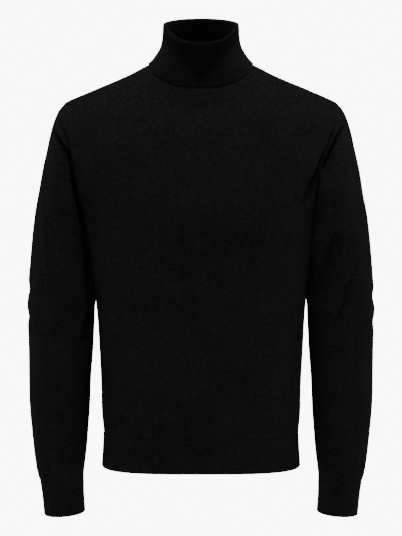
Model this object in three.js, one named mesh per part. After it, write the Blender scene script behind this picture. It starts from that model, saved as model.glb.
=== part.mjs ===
// A roll-neck sweater in fine-gauge knit, filled out as it is worn, with nobody in it.
// Millimetres. +Z is up, the front faces -Y, and +X is the wearer's left.
// The origin is the middle of the neck, level with the side neck points, where the shoulders carry the cloth.
// Pieces, as a knitwear maker links them: front and back panels with a hem band each, two set-in sleeves
// with a cuff each, and one ribbed neck tube that is folded down over itself.

import * as THREE from "three";

// Cloth and seams
const KNIT_WALL = 2.0;
const RIB_WALL = 2.2;
const RIB_HEIGHT = 0.45;
const SEAM_GAP = 0.3;
const CONTACT_GAP = 1.2;

// Heights of the seams and edges
const HEM_EDGE_Z = -656.5;
const HEM_SEAM_Z = -603;
const ARMPIT_Z = -246;
const SHOULDER_Z = -64.5;
const NECK_SEAM_Z = 2.6;

// The armhole is an ellipse seen from the side; these are its half depths to the front and the back.
const ARMHOLE_FRONT = 64;
const ARMHOLE_BACK = 67;

// How finely each piece is divided
const FRONT_COLUMNS = 20;
const BACK_COLUMNS = 18;
const BAND_ROWS = 3;
const BODY_ROWS = 12;
const ARMHOLE_ROWS = 12;
const SHOULDER_ROWS = 8;
const SLEEVE_COLUMNS = 2 * ARMHOLE_ROWS;
const NECK_RIBS = 104;
const RIBS_PER_PLAIN_COLUMN = 2;
const DENSE_STEPS = 160;

// A table is rows of numbers under named columns, and its first column is the key that it is read by.
function table(columns, rows) {
  return rows.map((row) => Object.fromEntries(columns.map((name, i) => [name, row[i]])));
}

// Every column of a table at a value of its key, on a smooth cubic through the rows.
function read(rows, key, at) {
  const last = rows.length - 1;
  let i = 0;
  while (i < last - 1 && at > rows[i + 1][key]) i++;
  const [low, high] = [rows[i], rows[i + 1]];
  const span = high[key] - low[key];
  const t = Math.min(1, Math.max(0, (at - low[key]) / span));
  const slope = (j, name) => {
    const [before, after] = [rows[Math.max(0, j - 1)], rows[Math.min(last, j + 1)]];
    return (after[name] - before[name]) / (after[key] - before[key]);
  };
  const found = {};
  for (const name of Object.keys(low)) {
    const [startSlope, endSlope] = [slope(i, name) * span, slope(i + 1, name) * span];
    found[name] =
      (2 * t ** 3 - 3 * t ** 2 + 1) * low[name] +
      (t ** 3 - 2 * t ** 2 + t) * startSlope +
      (3 * t ** 2 - 2 * t ** 3) * high[name] +
      (t ** 3 - t ** 2) * endSlope;
  }
  return found;
}

// The body, one row for each section from the hem to the neck seam. z and half are the height and half width
// at the side seam, armhole or shoulder seam; mid is where that seam lies from front to back; front and back
// are the depths from there; drop and rise are how far the middle of the front hangs below the side and the
// middle of the back stands above it; square is the power of the section's curve, 2 for an ellipse.
const TORSO = table(
  ["z", "half", "mid", "front", "back", "drop", "rise", "square"],
  [
    [-656.5, 164.1, 0, 106, 97, 0, 0, 3.3],
    [-631.5, 162.3, 0, 105, 96, 0, 0, 3.3],
    [-603, 161.2, 0, 105, 96, 0, 0, 3.2],
    [-571, 164, 0, 108, 98, 0, 0, 3.1],
    [-531, 164.7, 0, 110, 99, 0, 0, 3.0],
    [-451, 168.2, 0, 113.5, 100.5, 0, 0, 2.85],
    [-387, 176.1, 0, 118, 104, 0, 0, 2.7],
    [-305, 184.5, 0, 124.5, 111, 0, 0, 2.55],
    [-246, 191.6, 0, 128.5, 117.5, 0, 0, 2.45],
    [-196, 199, 0, 127.5, 121.5, 5, 0, 2.35],
    [-147, 209.2, 0, 120.7, 122.5, 13, 0, 2.25],
    [-115.5, 219.8, 0, 114.3, 120, 20, 1, 2.15],
    [-90, 227.5, 0, 107.5, 115.5, 25, 3, 2.05],
    [-64.5, 223, 1, 100.3, 107.5, 29, 6, 2.0],
    [-58.5, 213.6, 1, 98.2, 105, 29.8, 6.5, 2.0],
    [-39, 167.6, 2, 91.7, 95, 32, 8, 2.0],
    [-19.5, 121.7, 3, 84.7, 84.5, 34.2, 10, 2.05],
    [-6.3, 95.7, 4, 80, 77, 35.7, 11, 2.1],
    [2.6, 77.7, 4, 76, 72, 36.5, 11.5, 2.1],
  ],
);

// The wearer's left sleeve, one row for each section from the armhole down to the cuff's edge. Each section is
// laid out on a chord from the armpit side (inX, inZ) to the shoulder side (outX, outZ); depth is its half
// depth from front to back about mid; loop is how much of the armhole's own shape is left in it.
const SLEEVE = table(
  ["step", "outX", "outZ", "inX", "inZ", "depth", "mid", "loop", "square"],
  [
    [0, 223, -64.5, 191.6, -246, 66, 0, 1, 2],
    [1, 232.4, -75.7, 193, -248, 66.5, 1, 0.85, 2],
    [2, 240.5, -94, 193, -250.5, 67, 2, 0.65, 2],
    [3, 246.7, -114.5, 192.5, -253, 67, 3, 0.45, 2],
    [4, 253, -143, 191.5, -256, 66.5, 4, 0.28, 2.05],
    [5, 259.8, -173, 190, -259.5, 66, 5, 0.14, 2.1],
    [6, 265.7, -202.5, 188.5, -264, 65.5, 5, 0.05, 2.1],
    [7, 271.7, -237, 187, -270, 64.5, 5, 0, 2.15],
    [8, 277, -277, 184.5, -280, 63, 5, 0, 2.2],
    [9, 282.5, -331, 179.5, -331, 59.5, 5, 0, 2.25],
    [10, 286, -388, 178, -388, 55, 4, 0, 2.25],
    [11, 285.1, -451, 179.4, -451, 52, 2, 0, 2.25],
    [12, 284.7, -516, 182, -516, 50, 0, 0, 2.25],
    [13, 283.2, -570, 184.6, -570, 47, -2, 0, 2.2],
    [14, 277.8, -631, 189.3, -630, 43, -4, 0, 2.15],
    [15, 271.9, -671, 193.7, -668.5, 39.5, -5, 0, 2.1],
    [16, 267.5, -688, 194.8, -685, 37.5, -6, 0, 2.1],
    [17, 263.9, -712, 195, -708.5, 36.5, -6, 0, 2.1],
    [18, 260.9, -743.5, 193.2, -738.5, 36.5, -7, 0, 2.1],
  ],
);
const CUFF_STEP = 16;
const SLEEVE_STEPS = [0, 0.5, 1, 2, 3, 4, 5, 6, 7, 8, 8.5, 9, 9.5, 10, 10.6, 11.3, 12, 13, 14, 15, 16];
const CUFF_STEPS = [16, 16.6, 17.3, 18];

// The neck tube, one row for each section of its ribbed face: from the neck seam up the inside, over the fold
// and down the outside to the free edge, which lies on the shoulders. Columns are as for the body.
const NECK = table(
  ["step", "z", "half", "mid", "front", "back", "drop", "rise", "square"],
  [
    [0, -2.8, 74.1, 4, 71.3, 67.3, 36.5, 11.5, 2.1],
    [1, 8, 68.6, 2.5, 67.5, 63.5, 35, 11.5, 2.1],
    [2, 21.5, 60.4, -0.5, 61, 58, 32, 11.5, 2.1],
    [3, 41, 55.7, -3.5, 54, 54.5, 30, 12, 2.1],
    [4, 56, 55, -5, 50.8, 52.5, 29.5, 13, 2.1],
    [5, 60.5, 55.6, -5, 51.6, 53.2, 29.5, 13.5, 2.1],
    [6, 62.3, 58, -5, 54.5, 56, 29.5, 13.5, 2.1],
    [7, 60.5, 60.6, -5, 57.3, 58.9, 29.5, 13.5, 2.1],
    [8, 55, 61.4, -4.8, 58.4, 60.4, 29.8, 13, 2.1],
    [9, 44.7, 61.7, -4.2, 60, 62, 30.5, 12, 2.1],
    [10, 35, 62.5, -3, 62.5, 62.8, 31.5, 11.5, 2.1],
    [11, 26, 64.8, -2, 66, 65.7, 33, 10.5, 2.1],
    [12, 17.6, 69.3, 0, 71, 70.5, 35.5, 9.5, 2.1],
    [13, 9.9, 75, 1.5, 76, 76.5, 39, 9, 2.1],
    [14, 3.8, 82.3, 3, 81.8, 82, 43, 7, 2.1],
  ],
);
const NECK_STEPS = [0, 2, 4, 5, 6, 7, 8, 10.5, 12, 13, 14];

// The largest folds, as lines seen from the front or the back, in millimetres: a trough has a negative depth.
// face is -1 for the front and 1 for the back, and reach is the fold's half width.
const FOLD_COLUMNS = ["x0", "z0", "x1", "z1", "depth", "reach", "face"];
const BODY_FOLDS = table(FOLD_COLUMNS, [
  [200, -150, 172, -232, -5, 15, -1],
  [-196, -160, -180, -225, -2.5, 15, -1],
  [-188, -160, -160, -235, -4, 16, 1],
  [190, -155, 168, -225, -3.5, 15, 1],
  [-118, -585, -66, -560, 3, 22, -1],
  [0, -45, 0, -92, -4, 30, -1],
]);
const LEFT_SLEEVE_FOLDS = table(FOLD_COLUMNS, [
  [232, -112, 211, -160, -5.5, 15, -1],
  [256, -320, 214, -455, -4, 16, -1],
  [268, -290, 267, -560, 2, 14, -1],
  [230, -118, 210, -168, -5, 15, 1],
  [252, -345, 206, -435, -3.5, 16, 1],
]);
const RIGHT_SLEEVE_FOLDS = table(FOLD_COLUMNS, [
  [233, -115, 210, -160, -6, 15, -1],
  [255, -240, 250, -420, 2, 14, -1],
  [190, -395, 192, -450, -3, 14, -1],
  [230, -122, 210, -168, -5, 15, 1],
  [254, -330, 210, -450, -3.5, 16, 1],
]);

// The same number of points spaced evenly along a line of points.
function evenly(points, count) {
  const lengths = [0];
  for (let i = 1; i < points.length; i++) lengths.push(lengths[i - 1] + points[i].distanceTo(points[i - 1]));
  const whole = lengths[lengths.length - 1];
  const found = [];
  let i = 0;
  for (let j = 0; j <= count; j++) {
    const target = (whole * j) / count;
    while (i < points.length - 2 && lengths[i + 1] < target) i++;
    const t = (target - lengths[i]) / (lengths[i + 1] - lengths[i]);
    found.push(points[i].clone().lerp(points[i + 1], t));
  }
  return found;
}

// Half depth of the armhole at a height, to the front (face -1) or the back (face 1); nothing outside it.
function armholeCut(z, face) {
  const middle = (ARMPIT_Z + SHOULDER_Z) / 2;
  const t = (z - middle) / ((SHOULDER_Z - ARMPIT_Z) / 2);
  const widest = face < 0 ? ARMHOLE_FRONT : ARMHOLE_BACK;
  return widest * Math.sqrt(Math.max(0, 1 - t * t));
}

// Part of a section as points: a superellipse arc from one seam across the front or the back to the other.
function sectionArc(s, face, cut) {
  const depth = face < 0 ? s.front : s.back;
  const lift = face < 0 ? -s.drop : s.rise;
  const start = Math.asin((cut / depth) ** (s.square / 2));
  const wide = s.half / Math.cos(start) ** (2 / s.square);
  const points = [];
  for (let i = 0; i <= DENSE_STEPS; i++) {
    const angle = start + ((Math.PI - 2 * start) * i) / DENSE_STEPS;
    const cosine = Math.cos(angle);
    const across = -Math.sign(cosine) * Math.abs(cosine) ** (2 / s.square);
    const share = Math.max(0, Math.sin(angle)) ** (2 / s.square);
    points.push(new THREE.Vector3(wide * across, s.mid + face * depth * share, s.z + lift * share ** 1.5));
  }
  return points;
}

// Moves the first and last points of a row in from the seam, by half the gap between the two pieces.
function trimmed(row) {
  const last = row.length - 1;
  const inward = (from, to) => to.clone().sub(from).setLength(SEAM_GAP / 2);
  row[0].add(inward(row[0], row[1]));
  row[last].add(inward(row[last], row[last - 1]));
  return row;
}

// The heights of the panels' rows: even down the body, by angle round the armhole, even along the shoulder.
function panelHeights() {
  const heights = [];
  for (let i = 0; i < BODY_ROWS; i++) heights.push(HEM_SEAM_Z + ((ARMPIT_Z - HEM_SEAM_Z) * i) / BODY_ROWS);
  const [middle, radius] = [(ARMPIT_Z + SHOULDER_Z) / 2, (SHOULDER_Z - ARMPIT_Z) / 2];
  for (let i = 0; i < ARMHOLE_ROWS; i++) heights.push(middle - radius * Math.cos((Math.PI * i) / ARMHOLE_ROWS));
  for (let i = 0; i <= SHOULDER_ROWS; i++) {
    heights.push(SHOULDER_Z + ((NECK_SEAM_Z - SHOULDER_Z) * i) / SHOULDER_ROWS);
  }
  heights[0] += SEAM_GAP / 2;
  return heights;
}

function torsoGrid(heights, face, columns) {
  return heights.map((z) => evenly(sectionArc(read(TORSO, "z", z), face, armholeCut(z, face)), columns));
}

// The unit normal at each point of a grid, pointing away from the body or out of a tube.
function normalsOf(grid, wraps, flip) {
  const rows = grid.length;
  const columns = grid[0].length;
  return grid.map((row, i) =>
    row.map((_, j) => {
      const [below, above] = [grid[Math.max(0, i - 1)][j], grid[Math.min(rows - 1, i + 1)][j]];
      const before = wraps ? row[(j + columns - 1) % columns] : row[Math.max(0, j - 1)];
      const after = wraps ? row[(j + 1) % columns] : row[Math.min(columns - 1, j + 1)];
      const across = after.clone().sub(before);
      return across.cross(above.clone().sub(below)).normalize().multiplyScalar(flip);
    }),
  );
}

// Rises smoothly from 0 to 1 as x goes from low to high.
function ramp(x, low, high) {
  const t = Math.min(1, Math.max(0, (x - low) / (high - low)));
  return t * t * (3 - 2 * t);
}

// How far the folds lift the cloth at a point: each is a bell across its line that fades past its ends.
function foldLift(point, normal, folds) {
  let lift = 0;
  for (const f of folds) {
    const along = new THREE.Vector2(f.x1 - f.x0, f.z1 - f.z0);
    const from = new THREE.Vector2(point.x - f.x0, point.z - f.z0);
    const share = Math.min(1, Math.max(0, from.dot(along) / along.lengthSq()));
    const away = from.sub(along.multiplyScalar(share)).length() / f.reach;
    lift += f.depth * Math.exp(-away * away) * ramp(normal.y * f.face, 0.05, 0.5);
  }
  return lift;
}

// Lifts a grid by its folds, fading to nothing at the seams so that neighbours keep their gap.
function folded(grid, normals, folds, fade) {
  return grid.map((row, i) =>
    row.map((p, j) => {
      const lift = foldLift(p, normals[i][j], folds) * fade(i, j);
      return p.clone().addScaledVector(normals[i][j], lift);
    }),
  );
}

// One closed wall from an outer grid and the directions in which it is thick.
function wall(outer, normals, thickness, wraps) {
  const rows = outer.length;
  const columns = outer[0].length;
  const inner = outer.map((row, i) => row.map((p, j) => p.clone().addScaledVector(normals[i][j], -thickness)));
  const points = [...outer, ...inner].flat();
  const outerAt = (i, j) => i * columns + (j % columns);
  const innerAt = (i, j) => rows * columns + outerAt(i, j);
  const faces = [];
  const apart = (a, b) => points[a].distanceToSquared(points[b]);
  const quad = (a, b, c, d) => {
    if (apart(a, c) < apart(b, d)) faces.push(a, b, c, a, c, d);
    else faces.push(a, b, d, b, c, d);
  };
  const spans = wraps ? columns : columns - 1;
  for (let i = 0; i < rows - 1; i++) {
    for (let j = 0; j < spans; j++) {
      quad(outerAt(i, j), outerAt(i, j + 1), outerAt(i + 1, j + 1), outerAt(i + 1, j));
      quad(innerAt(i, j), innerAt(i + 1, j), innerAt(i + 1, j + 1), innerAt(i, j + 1));
    }
  }
  for (let j = 0; j < spans; j++) {
    quad(outerAt(0, j + 1), outerAt(0, j), innerAt(0, j), innerAt(0, j + 1));
    quad(outerAt(rows - 1, j), outerAt(rows - 1, j + 1), innerAt(rows - 1, j + 1), innerAt(rows - 1, j));
  }
  if (!wraps) {
    for (let i = 0; i < rows - 1; i++) {
      quad(outerAt(i, 0), outerAt(i + 1, 0), innerAt(i + 1, 0), innerAt(i, 0));
      quad(outerAt(i + 1, spans), outerAt(i, spans), innerAt(i, spans), innerAt(i + 1, spans));
    }
  }
  return solidGeometry(points, faces);
}

// A geometry whose faces point outwards, whichever way round they were listed.
function solidGeometry(points, faces) {
  const at = (k) => points[faces[k]].clone();
  let volume = 0;
  for (let k = 0; k < faces.length; k += 3) volume += at(k).dot(at(k + 1).cross(at(k + 2)));
  if (volume < 0) {
    for (let k = 0; k < faces.length; k += 3) [faces[k + 1], faces[k + 2]] = [faces[k + 2], faces[k + 1]];
  }
  const geometry = new THREE.BufferGeometry();
  const positions = points.flatMap((p) => p.toArray());
  geometry.setAttribute("position", new THREE.Float32BufferAttribute(positions, 3));
  geometry.setIndex(faces);
  geometry.computeVertexNormals();
  return geometry;
}

// Where two pieces meet almost flat, both are cut along the plane halfway between their normals.
function mitred(own, other) {
  const agreement = Math.max(0, own.dot(other));
  return own.clone().addScaledVector(other, agreement).normalize();
}

// Front and back panels, and the hem band that hangs from each.
const panelZ = panelHeights();
const armpitRow = BODY_ROWS;
const shoulderRow = BODY_ROWS + ARMHOLE_ROWS;
const bandZ = [];
for (let i = 0; i <= BAND_ROWS; i++) {
  bandZ.push(HEM_EDGE_Z + ((HEM_SEAM_Z - SEAM_GAP / 2 - HEM_EDGE_Z) * i) / BAND_ROWS);
}

function panel(face, columns) {
  const plain = torsoGrid(panelZ, face, columns);
  const normals = normalsOf(plain, false, -face);
  const lastRow = panelZ.length - 1;
  const fade = (i, j) => ramp(Math.min(j, columns - j), 0, 2) * ramp(Math.min(i, lastRow - i), 0, 2);
  return { face, plain, normals, outer: folded(plain, normals, BODY_FOLDS, fade) };
}

// A full turn of a sleeve section: column 0 is at the shoulder, and the columns run down the front to the
// armpit and up the back. h is the share of the way up the chord and y the distance from its plane.
function ellipseTurn(column, depth, square) {
  const angle = (2 * Math.PI * column) / SLEEVE_COLUMNS;
  const rounded = (x) => Math.sign(x) * Math.abs(x) ** (2 / square);
  return { h: (1 + rounded(Math.cos(angle))) / 2, y: -depth * rounded(Math.sin(angle)) };
}

// The armhole as the panels' own edge points, in the order of the sleeve's columns.
function armholeLoop(front, back) {
  const edge = (p, row) => p.plain[row][p.plain[row].length - 1].clone();
  const loop = [];
  for (let row = shoulderRow; row >= armpitRow; row--) loop.push(edge(front, row));
  for (let row = armpitRow + 1; row < shoulderRow; row++) loop.push(edge(back, row));
  return loop;
}

// Half width of the body's surface below the armpit at a height and depth.
function bodyHalf(y, z) {
  const s = read(TORSO, "z", z);
  const share = Math.abs(y - s.mid) / (y < s.mid ? s.front : s.back);
  return s.half * (1 - Math.min(1, share) ** s.square) ** (1 / s.square);
}

// Moves a point of the sleeve off the side of the body where the two lie against each other.
function clearOfBody(p) {
  if (p.z < ARMPIT_Z) p.x = Math.max(p.x, bodyHalf(p.y, p.z) + CONTACT_GAP);
  return p;
}

// A sleeve section at a step of the table, blended from the armhole's loop into an ellipse.
function sleeveRing(step, loop) {
  const s = read(SLEEVE, "step", step);
  const [bottom, top] = [loop[SLEEVE_COLUMNS / 2], loop[0]];
  const firstChord = top.clone().sub(bottom);
  const firstNormal = new THREE.Vector3(firstChord.z, 0, -firstChord.x).normalize();
  const inner = new THREE.Vector3(s.inX, 0, s.inZ);
  const chord = new THREE.Vector3(s.outX, 0, s.outZ).sub(inner);
  const chordNormal = new THREE.Vector3(chord.z, 0, -chord.x).normalize();
  return loop.map((p, column) => {
    const from = p.clone().sub(bottom);
    const round = ellipseTurn(column, s.depth, s.square);
    const h = THREE.MathUtils.lerp(round.h, from.dot(firstChord) / firstChord.lengthSq(), s.loop);
    const y = THREE.MathUtils.lerp(s.mid + round.y, p.y, s.loop);
    const bulge = from.dot(firstNormal) * s.loop;
    return clearOfBody(inner.clone().addScaledVector(chord, h).addScaledVector(chordNormal, bulge).setY(y));
  });
}

// Sleeve and cuff of the wearer's left arm. The first ring leaves the armhole by the seam's gap.
function sleevePieces(loop, folds) {
  const rings = SLEEVE_STEPS.map((step) => sleeveRing(step, loop));
  rings[0].forEach((p, j) => {
    p.copy(loop[j]).add(rings[1][j].clone().sub(loop[j]).setLength(SEAM_GAP));
  });
  const normals = normalsOf(rings, true, 1);
  const lastRing = rings.length - 1;
  const fade = (i) => ramp(i, 0, 2) * ramp(lastRing - i, 0, 2);
  const cuff = CUFF_STEPS.map((step) => sleeveRing(step, loop));
  cuff[0].forEach((p, j) => p.add(cuff[1][j].clone().sub(p).setLength(SEAM_GAP)));
  return {
    outer: folded(rings, normals, folds, fade),
    normals,
    cuff,
    cuffNormals: normalsOf(cuff, true, 1),
  };
}

// The neck tube: its ribbed face has two columns to a rib, and its plain face, hidden in the fold, has fewer.
function neckGeometry() {
  const columns = 2 * NECK_RIBS;
  const ratio = 2 * RIBS_PER_PLAIN_COLUMN;
  const rings = NECK_STEPS.map((step) => {
    const s = read(NECK, "step", step);
    const turn = [...sectionArc(s, 1, 0), ...sectionArc(s, -1, 0).reverse().slice(1)];
    return evenly(turn, columns).slice(0, columns);
  });
  const normals = normalsOf(rings, true, 1);
  const ribbed = rings.map((row, i) =>
    row.map((p, j) => p.clone().addScaledVector(normals[i][j], j % 2 ? 0 : RIB_HEIGHT)),
  );
  const plain = rings.map((row, i) =>
    row.filter((_, j) => j % ratio === 0).map((p, k) => p.clone().addScaledVector(normals[i][k * ratio], -RIB_WALL)),
  );
  const plainColumns = columns / ratio;
  const ribbedAt = (i, j) => i * columns + (j % columns);
  const plainAt = (i, k) => rings.length * columns + i * plainColumns + (k % plainColumns);
  const faces = [];
  for (let i = 0; i < rings.length - 1; i++) {
    for (let j = 0; j < columns; j++) {
      faces.push(ribbedAt(i, j), ribbedAt(i, j + 1), ribbedAt(i + 1, j + 1));
      faces.push(ribbedAt(i, j), ribbedAt(i + 1, j + 1), ribbedAt(i + 1, j));
    }
    for (let k = 0; k < plainColumns; k++) {
      faces.push(plainAt(i, k), plainAt(i + 1, k), plainAt(i + 1, k + 1));
      faces.push(plainAt(i, k), plainAt(i + 1, k + 1), plainAt(i, k + 1));
    }
  }
  for (const [i, turn] of [[0, 1], [rings.length - 1, -1]]) {
    for (let k = 0; k < plainColumns; k++) {
      const rim = [[plainAt(i, k), plainAt(i, k + 1), ribbedAt(i, (k + 1) * ratio)]];
      for (let j = 0; j < ratio; j++) {
        rim.push([plainAt(i, k), ribbedAt(i, k * ratio + j + 1), ribbedAt(i, k * ratio + j)]);
      }
      for (const [a, b, c] of rim) faces.push(a, turn > 0 ? b : c, turn > 0 ? c : b);
    }
  }
  return solidGeometry([...ribbed, ...plain].flat(), faces);
}

const knit = new THREE.MeshStandardMaterial({ color: 0x151515, roughness: 0.95, metalness: 0 });
const rib = new THREE.MeshStandardMaterial({ color: 0x111111, roughness: 0.95, metalness: 0 });

const sweater = new THREE.Group();
sweater.name = "sweater";

function add(name, geometry, material) {
  const mesh = new THREE.Mesh(geometry, material);
  mesh.name = name;
  sweater.add(mesh);
}

const front = panel(-1, FRONT_COLUMNS);
const back = panel(1, BACK_COLUMNS);
const loop = armholeLoop(front, back);
const leftSleeve = sleevePieces(loop, LEFT_SLEEVE_FOLDS);
const rightSleeve = sleevePieces(loop, RIGHT_SLEEVE_FOLDS);

// Both walls at a seam are thick in one shared direction, so that they meet face to face.
const seamNormals = (p, row, side) => p.normals[row][side < 0 ? 0 : p.normals[row].length - 1];
for (const side of [-1, 1]) {
  const flipX = new THREE.Vector3(side, 1, 1);
  for (let row = 0; row < panelZ.length; row++) {
    const inArmhole = row > armpitRow && row < shoulderRow;
    const [a, b] = [seamNormals(front, row, side), seamNormals(back, row, side)];
    if (!inArmhole) {
      const shared = a.clone().add(b).normalize();
      a.copy(shared);
      b.copy(shared);
    }
  }
  const sleeve = side > 0 ? leftSleeve : rightSleeve;
  sleeve.normals[0].forEach((own, column) => {
    const onFront = column <= ARMHOLE_ROWS;
    const row = onFront ? shoulderRow - column : armpitRow + (column - ARMHOLE_ROWS);
    const edge = seamNormals(onFront ? front : back, row, side);
    const mirrored = edge.clone().multiply(flipX);
    const ownCopy = own.clone();
    own.copy(mitred(ownCopy, mirrored));
    edge.copy(mitred(mirrored, ownCopy)).multiply(flipX);
    if (column === 0) seamNormals(back, row, side).copy(edge);
  });
}

for (const p of [front, back]) {
  const name = p === front ? "front" : "back";
  const columns = p === front ? FRONT_COLUMNS : BACK_COLUMNS;
  p.outer.forEach(trimmed);
  add(name + "_panel", wall(p.outer, p.normals, KNIT_WALL, false), knit);
  const band = torsoGrid(bandZ, p.face, columns);
  const bandNormals = normalsOf(band, false, -p.face);
  band.forEach(trimmed);
  add(name + "_hem_band", wall(band, bandNormals, KNIT_WALL, false), rib);
}

const mirrorX = (grid) => grid.map((row) => row.map((p) => new THREE.Vector3(-p.x, p.y, p.z)));
add("left_sleeve", wall(leftSleeve.outer, leftSleeve.normals, KNIT_WALL, true), knit);
add("right_sleeve", wall(mirrorX(rightSleeve.outer), mirrorX(rightSleeve.normals), KNIT_WALL, true), knit);
add("left_cuff", wall(leftSleeve.cuff, leftSleeve.cuffNormals, KNIT_WALL, true), rib);
add("right_cuff", wall(mirrorX(rightSleeve.cuff), mirrorX(rightSleeve.cuffNormals), KNIT_WALL, true), rib);
add("neck_tube", neckGeometry(), rib);

export default sweater;
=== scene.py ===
"""A roll-neck sweater in fine black knit, filled out as it is worn, with nobody in it.

Sizes are in millimetres until a mesh is made. +Z is up, the front faces -Y and +X is the wearer's left.
The origin is the middle of the neck, level with the side neck points.
"""

import bpy
import numpy as np
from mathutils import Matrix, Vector


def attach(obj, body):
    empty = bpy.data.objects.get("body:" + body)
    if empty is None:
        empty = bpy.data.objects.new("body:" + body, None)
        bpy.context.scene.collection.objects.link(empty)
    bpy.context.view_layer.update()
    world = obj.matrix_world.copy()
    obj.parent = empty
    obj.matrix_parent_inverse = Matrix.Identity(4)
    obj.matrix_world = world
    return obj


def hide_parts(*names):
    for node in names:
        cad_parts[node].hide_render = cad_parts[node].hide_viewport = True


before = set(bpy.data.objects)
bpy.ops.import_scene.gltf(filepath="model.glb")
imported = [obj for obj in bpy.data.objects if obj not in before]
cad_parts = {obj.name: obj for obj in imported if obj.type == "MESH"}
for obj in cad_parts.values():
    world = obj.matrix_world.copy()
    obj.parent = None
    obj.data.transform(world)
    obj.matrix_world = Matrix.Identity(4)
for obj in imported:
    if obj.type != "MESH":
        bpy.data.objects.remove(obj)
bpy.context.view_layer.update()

# Front panel. One piece of fine plain knit in soft black yarn, shaped on the machine at the shoulders and
# armholes. It is linked to the back at the sides and shoulders, and hangs from the shoulders.
ARMPIT_Z = -246
SHOULDER_Z = -64.5
NECK_SEAM_Z = 2.6
HEM_SEAM_Z = -603
HEM_EDGE_Z = -656.5
ARMHOLE_FRONT = 64
ARMHOLE_BACK = 67
KNIT_WALL = 2.0
STITCH_WIDE = 1.9
STITCH_TALL = 1.5
FRONT_STEPS = 140
BACK_STEPS = 96
BODY_COLUMNS = 150
BELOW_ARMPIT = 96
SHOULDER_STEPS = 30

# Sections of the body: z and half are the height and half width at the seams, mid is where the seam lies from
# front to back, front and back are depths from there, drop and rise say how far the middle of the front hangs
# below the seam and the middle of the back stands above it, and square is the power of the section's curve.
TORSO = [
    # z, half, mid, front, back, drop, rise, square
    (-656.5, 164.1, 0, 106, 97, 0, 0, 3.3),
    (-631.5, 162.3, 0, 105, 96, 0, 0, 3.3),
    (-603, 161.2, 0, 105, 96, 0, 0, 3.2),
    (-571, 164, 0, 108, 98, 0, 0, 3.1),
    (-531, 164.7, 0, 110, 99, 0, 0, 3.0),
    (-451, 168.2, 0, 113.5, 100.5, 0, 0, 2.85),
    (-387, 172.8, 0, 118, 104, 0, 0, 2.7),
    (-305, 184.5, 0, 124.5, 111, 0, 0, 2.55),
    (-246, 191.6, 0, 128.5, 117.5, 0, 0, 2.45),
    (-196, 199, 0, 127.5, 121.5, 5, 0, 2.35),
    (-147, 209.2, 0, 120.7, 122.5, 13, 0, 2.25),
    (-115.5, 219.8, 0, 114.3, 120, 20, 1, 2.15),
    (-90, 227.5, 0, 107.5, 115.5, 25, 3, 2.05),
    (-64.5, 223, 1, 100.3, 107.5, 29, 6, 2.0),
    (-58.5, 213.6, 1, 98.2, 105, 29.8, 6.5, 2.0),
    (-39, 167.6, 2, 91.7, 95, 32, 8, 2.0),
    (-19.5, 121.7, 3, 84.7, 84.5, 34.2, 10, 2.05),
    (-6.3, 95.7, 4, 80, 77, 35.7, 11, 2.1),
    (2.6, 77.7, 4, 76, 72, 36.5, 11.5, 2.1),
]

# How far the front edges of the armholes are drawn towards the middle and forward, as the garment hangs a little
# twisted: more on the wearer's left than on the right.
DRAWN = [
    # z, left in, left forward, right in, right forward
    (-656.5, 0, 0, 0, 0),
    (-400, 0, 0, 0, 0),
    (-370, 2, 4, 0, 0),
    (-274, 4, 8, 0, 0),
    (-229, 6, 11, 0, 0),
    (-200, 10.5, 12.5, 0, 0),
    (-181, 12, 12, 0, 0),
    (-154, 14, 12, 1, 0.5),
    (-138, 14.5, 12, 3.5, 2),
    (-122, 14.5, 11, 5.5, 3.5),
    (-106, 14, 9, 4.5, 2.5),
    (-86, 11, 6, 1, 0.5),
    (-64.5, 0, 0, 0, 0),
    (2.6, 0, 0, 0, 0),
]

# Creases: a curve through three points, how high it stands (a trough is negative), how far it reaches to the
# left and to the right of its own direction, its form (2 is round, 4 has steep sides), and the side of the piece
# that it is on. The first number of each point is x on the front and the back, and y on the outside.
FRONT_CREASES = [
    # first point, middle point, last point, height, left reach, right reach, form, side
    ((-60, -60), (0, -74), (60, -60), -9.0, 22, 26, 2, "front"),
    ((-165, -224), (0, -234), (165, -224), 8.0, 44, 40, 2, "front"),
    ((199, -136), (184, -180), (160, -228), -13.0, 4.5, 4, 2, "front"),
    ((-202, -146), (-191, -212), (-180, -300), 3.5, 8, 9, 2, "front"),
    ((-149, -400), (-150, -450), (-147, -500), 1.6, 13, 13, 2, "front"),
    ((-158, -490), (-151, -556), (-146, -602), -4.0, 4.5, 4.5, 2, "front"),
    ((160, -430), (152, -513), (146, -592), -4.0, 4.5, 4.5, 2, "front"),
    ((-141, -598), (-132, -582), (-120, -570), -5.0, 8, 6, 2, "front"),
    ((-122, -590), (-108, -572), (-92, -556), 3.0, 9, 9, 2, "front"),
    ((-90, -598), (-83, -576), (-78, -548), -2.2, 8, 9, 2, "front"),
    ((-62, -300), (-56, -440), (-60, -570), -0.9, 26, 26, 2, "front"),
    ((74, -290), (66, -430), (70, -560), -0.9, 28, 28, 2, "front"),
    ((128, -250), (118, -330), (122, -420), 0.9, 20, 20, 2, "front"),
    ((-128, -270), (-121, -350), (-126, -430), 0.8, 20, 20, 2, "front"),
    ((92, -600), (98, -578), (110, -556), -1.2, 8, 8, 2, "front"),
]


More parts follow.
